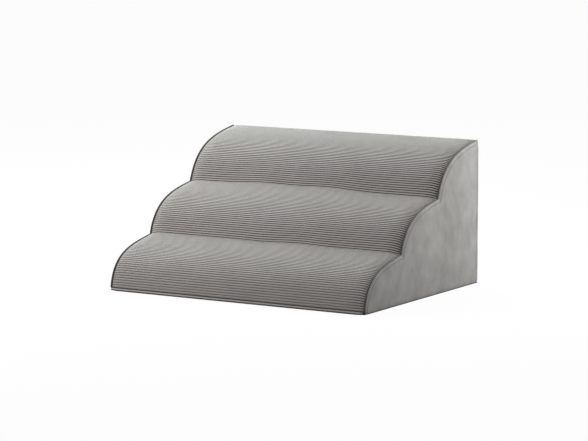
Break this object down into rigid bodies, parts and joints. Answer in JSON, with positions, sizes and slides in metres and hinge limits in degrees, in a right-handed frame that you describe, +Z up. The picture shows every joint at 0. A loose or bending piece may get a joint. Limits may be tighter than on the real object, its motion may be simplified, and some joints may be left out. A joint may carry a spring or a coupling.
{
  "type": "pet stairs",
  "caption": "Foam pet stairs with crowned corduroy steps, plush sides, dark piping, an anti-slip base and a zip along the foot of the back.",
  "frame": {"origin": "on the floor, in the middle of the width and of the depth", "axes": "+X across the width, to the right of someone facing the steps; +Y from the lowest step to the back; +Z up"},
  "size_m": [0.704, 0.5597, 0.35],
  "materials": {
    "corded_fabric": "matte",
    "plush_fabric": "matte",
    "piping_fabric": "matte",
    "base_fabric": "matte",
    "liner_fabric": "satin",
    "support_foam": "matte",
    "topper_foam": "matte",
    "zip_tape": "matte",
    "zip_coil": "satin",
    "zip_metal": "satin"
  },
  "bodies": {
    "stairs": {"lower_slab": "support_foam", "middle_slab": "support_foam", "upper_slab": "support_foam", "lower_topper": "topper_foam", "middle_topper": "topper_foam", "upper_topper": "topper_foam", "inner_liner": "liner_fabric", "lower_step_panel": "corded_fabric", "middle_step_panel": "corded_fabric", "upper_step_panel": "corded_fabric", "side_panel_left": "plush_fabric", "side_panel_right": "plush_fabric", "rear_panel_upper": "plush_fabric", "rear_panel_lower": "plush_fabric", "base_panel": "base_fabric", "front_band": "plush_fabric", "piping_left": "piping_fabric", "piping_right": "piping_fabric", "piping_front": "piping_fabric", "zip_tape_upper": "zip_tape", "zip_tape_lower": "zip_tape", "zip_coil_upper": "zip_coil", "zip_coil_lower": "zip_coil", "zip_top_stops": "zip_metal", "zip_bottom_stop": "zip_metal"},
    "slider": {"zip_slider": "zip_metal"},
    "tab": {"pull_tab": "zip_metal"}
  },
  "joints": [
    {"name": "zip_slide", "type": "slide", "parent": "stairs", "child": "slider", "axis": [1, 0, 0], "range_m": [-0.6519, 0]},
    {"name": "tab_flip", "type": "hinge", "parent": "slider", "child": "tab", "pos_m": [0.32595, 0.2803, 0.045], "axis": [0, 0, -1], "range_deg": [0, 180]}
  ]
}
